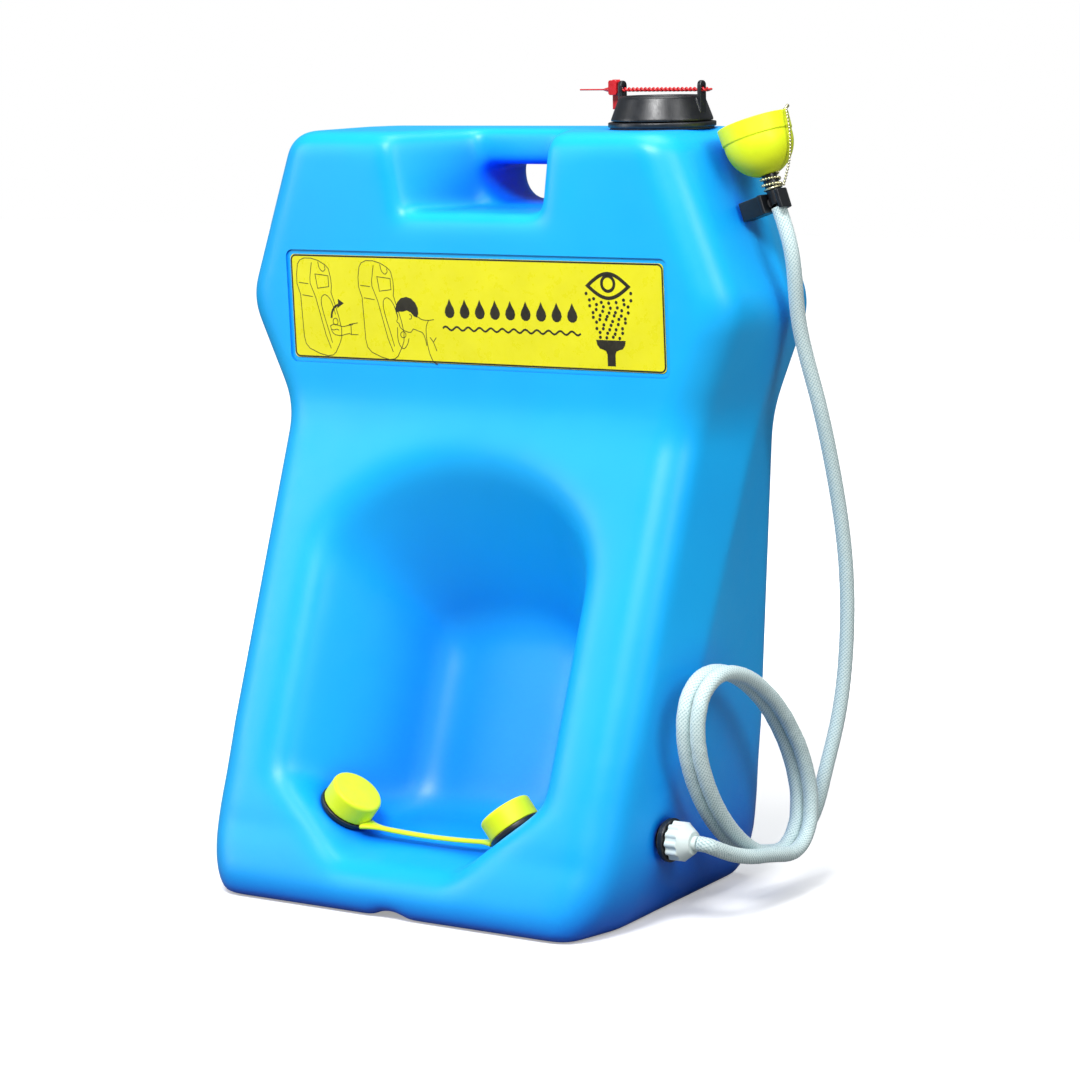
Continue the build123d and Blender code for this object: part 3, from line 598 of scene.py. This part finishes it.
def build_tank():
    """One relaxed skin over the hollow tank, with the label's pocket cut back in sharp."""
    shell = NODES["tank_shell"].data.copy()
    work = bmesh.new()
    work.from_mesh(shell)
    bmesh.ops.remove_doubles(work, verts=work.verts, dist=0.01 * MM)
    flush = front_gap()
    points, faces = label_prism(pocket_outline(SLAB_OVERLAP), flush - SLAB_DEPTH, flush)
    slab = [work.verts.new(tuple(p)) for p in points]
    for face in faces:
        work.faces.new([slab[i] for i in face])
    bmesh.ops.recalc_face_normals(work, faces=work.faces)
    work.to_mesh(shell)
    work.free()
    zones = ((in_bowl, BOWL_RELAX), (in_handle, GRIP_RELAX), (in_feet, FEET_RELAX))
    mesh = soften(shell, TANK_VOXEL, TANK_RELAX, TANK_FACES, zones)
    cutter = loose(
        mesh_from("cutter", *label_prism(pocket_outline(0), -LABEL_THICKNESS / 2, POCKET_OPEN))
    )
    work = loose(mesh)
    cut = work.modifiers.new("pocket", "BOOLEAN")
    cut.object = cutter
    cut.operation = "DIFFERENCE"
    cut.solver = "EXACT"
    mesh = baked(work)
    bpy.data.objects.remove(cutter)
    mesh.shade_smooth()
    mesh.set_sharp_from_angle(angle=SHARP_EDGE)
    new_piece("tank_skin", mesh, "tank", "tank_plastic", nodes=("tank_shell",))


build_tank()


# -------------------------------------------------------------------- label

INK_PROUD = 0.15
LINE_PROUD = 0.12
INK_SUNK = 0.2
THIN_LINE = 0.75


class Print:
    """Ink shapes in label millimetres: u to the right and v up from the label's middle."""

    def __init__(self):
        self.parts = []
        self.face = LABEL_THICKNESS / 2

    def solid(self, outline):
        """A filled outline standing a little proud of the film."""
        placed = [(u * MM, v * MM) for u, v in outline]
        low, high = self.face - INK_SUNK * MM, self.face + INK_PROUD * MM
        self.parts.append(label_prism(placed, low, high))

    def line(self, points, width, closed=False, smooth=False):
        """A stroke of even width through the points."""
        if smooth:
            flat = np.array([(u, v, 0) for u, v in points])
            points = [tuple(p[:2]) for p in spline(flat, 8 * len(points))]
        p = np.array(points, float)
        before = np.roll(p, 1, 0) if closed else np.vstack([2 * p[0] - p[1], p[:-1]])
        after = np.roll(p, -1, 0) if closed else np.vstack([p[1:], 2 * p[-1] - p[-2]])
        into = (p - before) / np.linalg.norm(p - before, axis=1)[:, None]
        out = (after - p) / np.linalg.norm(after - p, axis=1)[:, None]
        across = into + out
        across = np.stack([-across[:, 1], across[:, 0]], 1)
        across /= np.linalg.norm(across, axis=1)[:, None]
        side = np.stack([-into[:, 1], into[:, 0]], 1)
        reach = width / 2 / np.maximum((across * side).sum(1), 0.5)
        left = p + across * reach[:, None]
        right = p - across * reach[:, None]
        count = len(p)
        last = count if closed else count - 1
        quads = [
            on_label(u * MM, v * MM, self.face + level * MM)
            for level in (LINE_PROUD, -INK_SUNK) for u, v in np.vstack([left, right])
        ]
        faces = []
        for i in range(last):
            j = (i + 1) % count
            faces.append([i, j, j + count, i + count])
            faces.append([i + 2 * count, i + 3 * count, j + 3 * count, j + 2 * count])
            faces.append([j, i, i + 2 * count, j + 2 * count])
            faces.append([i + count, j + count, j + 3 * count, i + 3 * count])
        if not closed:
            end = count - 1
            faces.append([0, count, 3 * count, 2 * count])
            faces.append([end, end + 2 * count, end + 3 * count, end + count])
        self.parts.append((quads, faces))


def ellipse(u, v, wide, tall, steps=36):
    """Outline of an ellipse round (u, v)."""
    turn = [2 * math.pi * i / steps for i in range(steps)]
    return [(u + wide * math.cos(a), v + tall * math.sin(a)) for a in turn]


def moved_to(u0, v0):
    """A function that shifts points to stand round (u0, v0)."""
    return lambda points: [(u0 + u, v0 + v) for u, v in points]


def draw_station(ink, u0, v0):
    """A small line drawing of the station seen from its side."""
    at = moved_to(u0, v0)
    ink.line(at([
        (2, 38), (5, 42), (11, 44.5), (20, 44.5), (30, 42), (38, 38), (42.5, 34), (45, 24),
        (45.5, 16), (44.5, 9), (49, -4), (53, -16), (56, -29), (55.5, -38), (53, -44),
        (47, -54), (43, -57), (36, -58), (26, -56), (13, -51), (8, -46), (6, -38), (4, 6),
        (0, 17), (0, 27),
    ]), THIN_LINE, closed=True)
    ink.line(at([(20.5, 40), (17.5, 24), (17.5, 18), (24, 3), (35, -36), (41, -50)]), THIN_LINE)
    ink.line(at([(2.5, 18.5), (15, 17.5)]), THIN_LINE)
    ink.line(at([(6.5, 5.5), (20, 4)]), THIN_LINE)
    ink.line(at([(29, 41), (31, 34), (35, 31), (38, 33), (37.5, 37)]), THIN_LINE, smooth=True)
    ink.line(at([(24.5, 28), (41.5, 26.5), (42, 15), (27, 13)]), THIN_LINE, closed=True)
    ink.line(at([
        (43, -44), (40, -34), (33, -12), (31, -2), (32, 4), (36, 6.5), (41, 4), (45, -2),
        (49, -14),
    ]), THIN_LINE, smooth=True)


def draw_hand(ink, u0, v0):
    """A cuffed hand taking hold of a nozzle cap, and an arrow for the pull."""
    at = moved_to(u0, v0)
    ink.line(at([(0, 0), (5, 1.5), (11, 0.5), (16, -0.5), (24, 1), (30, 2)]), THIN_LINE, smooth=True)
    ink.line(at([(6, -9.5), (13, -10), (20, -8.5), (25, -7.5)]), THIN_LINE, smooth=True)
    ink.line(at([(0, 0), (1, -3.5), (4, -4.5), (8, -3.5), (11, -4.5)]), THIN_LINE, smooth=True)
    ink.line(at([(1, -4), (2.5, -7), (6, -9.5)]), THIN_LINE, smooth=True)
    ink.line(at([(24, 1.5), (27, 2.5), (27, -8.5), (24, -7.5)]), THIN_LINE)
    ink.line(at([(27, 2.5), (36, 4)]), THIN_LINE)
    ink.line(at([(27, -8.5), (36, -8.5)]), THIN_LINE)
    ink.line(at(ellipse(7, 4.5, 3.2, 3.6, 14)), THIN_LINE, closed=True)
    ink.line(at([(2, 8), (3, 14), (6.5, 19.5), (11.5, 22.5)]), 2.3, smooth=True)
    ink.solid(at([(10, 18.6), (19, 24), (11.5, 28.6), (11.8, 24)]))


def draw_washer(ink, u0, v0):
    """A plain made-up figure bending over the basin."""
    at = moved_to(u0, v0)
    hair = [
        (-13, 2), (-13.5, 7), (-11, 13), (-6, 17.5), (1, 19), (7, 17.5), (12, 13.5),
        (15, 8), (15.5, 2), (13.5, -2), (10, -1), (6, 3), (1, 5), (-4, 3.5), (-9, 3.5),
    ]
    ink.solid(at(hair))
    ink.line(at([
        (-12, 2), (-11, -3), (-12.5, -7), (-10, -9), (-9, -12), (-6, -15), (-1, -17),
        (5, -17.5), (8, -14),
    ]), THIN_LINE, smooth=True)
    ink.line(at([(4, 1), (6.5, 0), (6, -3.5), (3.5, -4)]), THIN_LINE, smooth=True)
    ink.line(at([(14, -1), (20, -4), (28, -4.5), (35, -3.5)]), THIN_LINE, smooth=True)
    ink.line(at([(8, -14), (15, -16), (20, -18), (23, -24), (24.5, -31)]), THIN_LINE, smooth=True)
    ink.line(at([
        (28, -4.5), (25, -11), (24.5, -20), (26, -32), (29, -42), (33, -48), (37, -50),
    ]), THIN_LINE, smooth=True)
    ink.line(at([(29, -22), (33, -27), (37, -36)]), THIN_LINE, smooth=True)
    ink.line(at([(33, -27), (37, -22)]), THIN_LINE)
    ink.line(at([(-12, -13), (-12, -26), (-9, -33), (-5, -35), (0, -30), (2, -24)]), THIN_LINE, smooth=True)
    ink.line(at(ellipse(-5, -20.5, 3.4, 3.2, 14)), THIN_LINE, closed=True)


def draw_eye_and_spray(ink, u0, v0, rng):
    """An eye above a widening spray that leaves an upright spray head."""
    def lens(width, rise, drop):
        upper = [(-width + 2 * width * i / 14, rise * math.sin(math.pi * i / 14)) for i in range(15)]
        lower = [(width - 2 * width * i / 14, -drop * math.sin(math.pi * i / 14)) for i in range(1, 14)]
        return [(u0 + u, v0 + v) for u, v in upper + lower]

    ink.line(lens(24.2, 12.6, 12.0), 3.6, closed=True)
    ink.line(ellipse(u0, v0 + 2.6, 7.4, 7.6), 3.2, closed=True)
    rows = 9
    dot_radius = 1.75
    for row in range(rows):
        share = row / (rows - 1)
        half = 11.5 + 15 * share
        count = 4 + round(3.4 * share)
        for i in range(count):
            across = -half + 2 * half * i / (count - 1)
            lift = 10.5 * (across / 27) ** 2 * share
            jog = rng.uniform(-0.9, 0.9)
            u = u0 + 1.2 + across + (0.9 if row % 2 else -0.9)
            v = v0 - 51 + 33.5 * share + lift + jog
            ink.solid(ellipse(u, v, dot_radius, dot_radius, 12))
    head = [
        (-17.6, 0), (17.6, 0), (16.4, -5), (13.5, -8.6), (9.5, -9.6), (6, -11.2), (4.8, -14.5),
        (4.7, -26), (-4.7, -26), (-4.8, -14.5), (-6, -11.2), (-9.5, -9.6), (-13.5, -8.6),
        (-16.4, -5),
    ]
    ink.solid([(u0 + 1.2 + u, v0 - 54 + v) for u, v in head])


def draw_waves(ink, u0, v0, length):
    """A heavy row of drops over a thin ripple, in place of printed words."""
    drop = [
        (0, 10.5), (2.4, 5.2), (5.2, 0.6), (6.2, -3.4), (4.8, -7.2), (1.8, -9.2),
        (-1.8, -9.2), (-4.8, -7.2), (-6.2, -3.4), (-5.2, 0.6), (-2.4, 5.2),
    ]
    count = 9
    for i in range(count):
        u = u0 + length * (i + 0.5) / count
        ink.solid([(u + a, v0 + b) for a, b in drop])
    ripple = [(u0 + length * i / 96, v0 - 20 + 1.9 * math.sin(i * math.pi / 4)) for i in range(97)]
    ink.line(ripple, 2.0)


def build_print():
    """A frame line and four generic pictograms."""
    ink = Print()
    inset = 1.1
    half_u = LABEL_HALF_WIDTH / MM
    half_v = LABEL_HALF_HEIGHT / MM
    ink.line(
        rounded_rectangle(-half_u + inset, half_u - inset, -half_v + inset, half_v - inset, 5.5),
        1.7, closed=True,
    )
    draw_station(ink, -225, 6)
    draw_hand(ink, -183.5, -20)
    draw_station(ink, -144, 5)
    draw_washer(ink, -84, -6)
    draw_waves(ink, -38, 2, 170)
    draw_eye_and_spray(ink, 166.5, 30.5, random.Random(7))
    mesh = mesh_from("label_print", *joined(ink.parts), smooth=False)
    new_piece("label_print", mesh, "tank", "label_film", look="label_ink")


build_print()


# ------------------------------------------------------- moulded small parts

for side in ("left", "right"):
    moulded(f"plug_cap_{side}", f"nozzle_cap_{side}", f"{side}_plug", "yellow_rubber", 0.7 * MM, 9)
    moulded(f"nozzle_flange_{side}", f"nozzle_body_{side}", "tank", "black_plastic", 0.7 * MM, 4)

CAP_FACES = 150000
moulded("filler_cap", "fill_cap", "cap", "black_plastic", 0.8 * MM, 4, CAP_FACES)
moulded("filler_neck", "neck_ring", "tank", "black_plastic", 0.9 * MM, 4)
moulded("cup_skin", "eye_cup", "head", "yellow_rubber", 0.6 * MM, 4)
moulded("clip_body", "hose_clip", "tank", "black_plastic", 0.6 * MM, 3)
moulded("stem_body", "head_stem", "head", "black_plastic", 0.5 * MM, 3)
moulded("swivel_body", "swivel_nut", "swivel", "white_plastic", 0.55 * MM, 4)
moulded("outlet_body", "outlet_fitting", "tank", "black_plastic", 0.6 * MM, 4)
moulded("dust_disc", "dust_plug", "dust_cover", "yellow_rubber", 0.7 * MM, 4)


# --------------------------------------------------------------------- hose

tail_low, tail_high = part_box("hose_tail")
HOSE_RADIUS = 7.6 * MM
STRANDS = 12
HOSE_SIDES = 48
HOSE_STEP = 1.1 * MM
BRAID_DEPTH = 0.5 * MM
BRAID_MEAN = 0.75


def build_hose():
    """A braided hose: two sets of strands wound against each other, over and under."""
    start = (tail_high.x, (tail_low.y + tail_high.y) / 2, (tail_low.z + tail_high.z) / 2)
    path = centreline("drench_hose", start, (1, 0, 0), HOSE_RADIUS, 4 * MM)
    length = np.linalg.norm(np.diff(path, axis=0), axis=1).sum()
    path = even(spline(path, 6 * len(path)), int(length / HOSE_STEP))
    distance = np.arange(len(path))[:, None] * length / len(path)
    angle = np.linspace(0, 2 * np.pi, HOSE_SIDES, endpoint=False)[None]
    wind = STRANDS / HOSE_RADIUS
    right = STRANDS * angle + wind * distance
    left = STRANDS * angle - wind * distance
    over = np.cos((right - left) / 2) * np.cos((right + left) / 2)
    one = (0.5 + 0.5 * np.cos(right)) * (0.72 + 0.28 * np.sign(over))
    two = (0.5 + 0.5 * np.cos(left)) * (0.72 - 0.28 * np.sign(over))
    weave = np.maximum(one, two)
    points, faces = tube(path, HOSE_RADIUS + (weave - BRAID_MEAN) * BRAID_DEPTH, HOSE_SIDES)
    mesh = mesh_from("braided_hose", points, faces)
    attribute = mesh.attributes.new("weave", "FLOAT", "POINT")
    attribute.data.foreach_set("value", weave.astype(np.float32).ravel())
    hose = new_piece("braided_hose", mesh, None, "hose_braid", nodes=("drench_hose",))
    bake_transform(hose)


build_hose()


# -------------------------------------------------------- pull strap and seal

strap_low, strap_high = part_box("pull_strap")


def build_strap():
    """Two halves of the moulded strap, each widening into its cap."""
    reach = strap_high.x + 2 * MM
    middle = (strap_low.y + strap_high.y) / 2
    foot = strap_low.z
    top = strap_high.z
    steps = 60
    ring = 16
    flare_from = 0.72
    for side, body in ((-1, "left_plug"), (1, "right_plug")):
        points = []
        faces = []
        for i in range(steps + 1):
            share = i / steps
            x = side * reach * share
            z = foot + 2 * MM + (top - foot - 4 * MM) * share ** 2
            flare = max(0.0, (share - flare_from) / (1 - flare_from)) ** 2
            half = (4.5 + 8.5 * flare) * MM
            thick = (2.0 + 0.9 * flare) * MM
            for j in range(ring):
                a = 2 * math.pi * j / ring
                u = math.copysign(abs(math.cos(a)) ** 0.45, math.cos(a))
                v = math.copysign(abs(math.sin(a)) ** 0.6, math.sin(a))
                points.append((x, middle + half * u, z + thick * v))
        for i in range(steps):
            for j in range(ring):
                k = (j + 1) % ring
                faces.append([i * ring + j, i * ring + k, (i + 1) * ring + k, (i + 1) * ring + j])
        faces.append(list(range(ring)))
        faces.append([steps * ring + j for j in range(ring)])
        name = f"strap_half_{body}"
        mesh = mesh_from(name, points, faces)
        piece = new_piece(name, mesh, None, "yellow_rubber", nodes=("pull_strap",))
        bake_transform(piece)


build_strap()

seal_low, seal_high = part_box("seal_strap")
STRAND_RADIUS = 1.15 * MM
STRAND_SPREAD = 1.5 * MM
STRAND_TURNS = 11
LOOP_RADIUS = 2.2 * MM


def build_seal():
    """A twisted two-strand tie that ends in a loop, and its moulded lock."""
    middle = (seal_low.y + seal_high.y) / 2
    level = (seal_low.z + seal_high.z) / 2
    start = seal_low.x
    end = seal_high.x - 3 * MM
    parts = []
    along = np.linspace(0, 1, 240)
    for phase in (0, math.pi):
        angle = phase + 2 * math.pi * STRAND_TURNS * along
        open_up = 1 + 1.1 * np.clip((along - 0.9) / 0.1, 0, 1)
        path = np.stack([
            start + (end - start) * along,
            middle + STRAND_SPREAD * open_up * np.cos(angle),
            level + STRAND_SPREAD * 0.8 * np.sin(angle),
        ], 1)
        parts.append(tube(path, STRAND_RADIUS, 10))
    arc = np.linspace(-0.5, 0.5, 16) * math.pi
    loop = np.stack([
        end + LOOP_RADIUS * np.cos(arc),
        middle + LOOP_RADIUS * np.sin(arc),
        np.full_like(arc, level),
    ], 1)
    parts.append(tube(loop, STRAND_RADIUS, 10))
    mesh = mesh_from("seal_rope", *joined(parts))
    new_piece("seal_rope", mesh, "cap", "red_plastic", nodes=("seal_strap",))
    moulded("seal_body", "seal_lock", "cap", "red_plastic", 0.35 * MM, 2)


build_seal()


# ------------------------------------------------------- bead chain on the cup

UP = Vector(JOINTS["dust_cover_lift"]["axis"])
OUT = Vector((UP.z, 0, -UP.x))
stem_low, stem_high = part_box("head_stem")
SEAT = (stem_low + stem_high) / 2 - UP * 12 * MM
BEAD_SPACING = 3.1 * MM
BEAD_RADIUS = 1.4 * MM
WRAP_TURNS = 2.4
WRAP_RADIUS = 9.3
WRAP_TOP = 27
WRAP_HEIGHT = 14


def head_point(x, y, z):
    """A point in the leaning head's own millimetres, in the row frame."""
    return SEAT + OUT * x * MM + Vector((0, y * MM, 0)) + UP * z * MM


def beads(path, spacing, radius):
    """Round metal beads along a path, with a thin link through them."""
    length = np.linalg.norm(np.diff(path, axis=0), axis=1).sum()
    centres = even(path, max(2, int(length / spacing)))
    tangent = path_frames(centres)[0]
    profile = [
        (radius * math.sin(a), -radius * math.cos(a))
        for a in np.linspace(0.22, math.pi - 0.22, 8)
    ]
    parts = [lathe(profile, c, t, 12) for c, t in zip(centres, tangent)]
    parts.append(tube(path, 0.4 * MM, 6))
    return parts


def build_chain():
    """A hanging string of beads from the dust plug, and its turns round the stem."""
    hung = spline([
        head_point(*p) for p in (
            (5, 0, 71), (12, 12, 78), (20, 22, 84), (26, 25, 86), (33, 18, 85.8), (37.8, 9, 85.2),
            (40, 1, 82), (41, -3, 74), (40, -4, 64), (36.8, -4, 51), (30, -3, 35),
            (20.5, -2, 21), (13, 0, 12.5),
        )
    ], 400)
    mesh = mesh_from("bead_string", *joined(beads(hung, BEAD_SPACING, BEAD_RADIUS)))
    string = new_piece("bead_string", mesh, None, "bead_metal", nodes=("bead_chain",))
    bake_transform(string)
    angle = np.linspace(0, 2 * math.pi * WRAP_TURNS, 160)
    wrap = np.array([
        head_point(
            WRAP_RADIUS * math.cos(a), WRAP_RADIUS * math.sin(a), WRAP_TOP - WRAP_HEIGHT * i / 159
        )
        for i, a in enumerate(angle)
    ])
    mesh = mesh_from("bead_wrap", *joined(beads(wrap, BEAD_SPACING, BEAD_RADIUS + 0.05 * MM)))
    new_piece("bead_wrap", mesh, "head", "bead_metal")


build_chain()


# ---------------------------------------------------- finishes for CAD nodes

SLOT_OF = {node: obj.data.materials[0].name for node, obj in NODES.items()}
for node, obj in NODES.items():
    if not obj.hide_render:
        obj.material_slots[0].material = LOOKS[SLOT_OF[node]]


# --------------------------------------------------- floor, lights and camera

FLOOR_HALF = 9
FLOOR_DROP = 0.4 * MM
GLOW_NEAR, GLOW_FAR = 0.45, 1.5
CAMERA_AZIMUTH = math.radians(34.48)
CAMERA_PITCH = math.radians(8.456)
CAMERA_ROLL = math.radians(-1.25)
CAMERA_PLACE = (2.1343, -2.9927, 0.9076)
CAMERA_LENS = 120.43
CAMERA_SENSOR = 36
LIGHT_TARGET = (0, 0, 0.4)


def build_floor():
    """A pale floor that keeps its contact shadow and fades to white away from the object."""
    graph = Graph("studio_floor")
    place = graph.add("ShaderNodeNewGeometry").outputs["Position"]
    away = graph.add("ShaderNodeVectorMath", operation="LENGTH")
    graph.wire(place, away.inputs[0])
    seen = graph.add("ShaderNodeLightPath").outputs["Is Camera Ray"]
    mottle = graph.mix(
        graph.remap(graph.noise(0.6), 0.3, 0.7, 0, 1), (0.9, 0.9, 0.9), (0.87, 0.87, 0.87)
    )
    graph.wire(graph.mix(seen, (0.22, 0.22, 0.22), mottle), graph.surface.inputs["Base Color"])
    glow = graph.add("ShaderNodeMath", operation="MULTIPLY")
    graph.wire(graph.remap(away.outputs["Value"], GLOW_NEAR, GLOW_FAR, 0.35, 1.0), glow.inputs[0])
    graph.wire(seen, glow.inputs[1])
    graph.wire(glow.outputs[0], graph.surface.inputs["Emission Strength"])
    graph.surface.inputs["Emission Color"].default_value = (1, 1, 1, 1)
    graph.surface.inputs["Roughness"].default_value = 0.9
    graph.surface.inputs["Specular IOR Level"].default_value = 0.0
    corners = [(x * FLOOR_HALF, y * FLOOR_HALF, 0) for x, y in ((-1, -1), (1, -1), (1, 1), (-1, 1))]
    mesh = mesh_from("studio_floor", corners, [(0, 1, 2, 3)])
    mesh.materials.append(graph.material)
    floor = bpy.data.objects.new("studio_floor", mesh)
    floor.location.z = -FLOOR_DROP
    bpy.context.scene.collection.objects.link(floor)


def area_light(name, place, size, power):
    """A white softbox that faces the middle of the tank."""
    lamp = bpy.data.lights.new(name, "AREA")
    lamp.shape = "RECTANGLE"
    lamp.size, lamp.size_y = size
    lamp.energy = power
    obj = bpy.data.objects.new(name, lamp)
    obj.location = place
    obj.rotation_mode = "QUATERNION"
    obj.rotation_quaternion = (Vector(LIGHT_TARGET) - Vector(place)).to_track_quat("-Z", "Y")
    bpy.context.scene.collection.objects.link(obj)


def build_light():
    """A world that is white to the camera and dim to the object, and four softboxes."""
    world = bpy.data.worlds.new("studio")
    bpy.context.scene.world = world
    world.use_nodes = True
    tree = world.node_tree
    tree.nodes.clear()
    output = tree.nodes.new("ShaderNodeOutputWorld")
    seen = tree.nodes.new("ShaderNodeBackground")
    seen.inputs["Color"].default_value = (1, 1, 1, 1)
    lit = tree.nodes.new("ShaderNodeBackground")
    lit.inputs["Color"].default_value = (0.93, 0.97, 1, 1)
    lit.inputs["Strength"].default_value = 0.2
    rays = tree.nodes.new("ShaderNodeLightPath")
    mix = tree.nodes.new("ShaderNodeMixShader")
    tree.links.new(rays.outputs["Is Camera Ray"], mix.inputs["Fac"])
    tree.links.new(lit.outputs[0], mix.inputs[1])
    tree.links.new(seen.outputs[0], mix.inputs[2])
    tree.links.new(mix.outputs[0], output.inputs["Surface"])
    area_light("key", (0.70, -2.15, 2.85), (1.3, 1.0), 118)
    area_light("fill", (-2.3, -1.7, 1.3), (1.0, 1.8), 26)
    area_light("side", (2.7, -0.7, 2.0), (1.0, 1.4), 34)
    area_light("top", (0.1, 0.2, 2.7), (1.4, 1.2), 24)


def build_camera():
    """A long lens from the front right, a little above the middle of the tank."""
    level = math.cos(CAMERA_PITCH)
    ahead = Vector((
        -math.sin(CAMERA_AZIMUTH) * level, math.cos(CAMERA_AZIMUTH) * level, -math.sin(CAMERA_PITCH)
    ))
    across = Vector((math.cos(CAMERA_AZIMUTH), math.sin(CAMERA_AZIMUTH), 0))
    upward = across.cross(ahead)
    right = across * math.cos(CAMERA_ROLL) + upward * math.sin(CAMERA_ROLL)
    above = upward * math.cos(CAMERA_ROLL) - across * math.sin(CAMERA_ROLL)
    data = bpy.data.cameras.new("camera")
    data.lens = CAMERA_LENS
    data.sensor_width = CAMERA_SENSOR
    camera = bpy.data.objects.new("camera", data)
    turn = Matrix((right, above, -ahead)).transposed().to_4x4()
    camera.matrix_world = Matrix.Translation(CAMERA_PLACE) @ turn
    bpy.context.scene.collection.objects.link(camera)
    bpy.context.scene.camera = camera


build_floor()
build_light()
build_camera()
bpy.context.scene.view_settings.view_transform = "Standard"
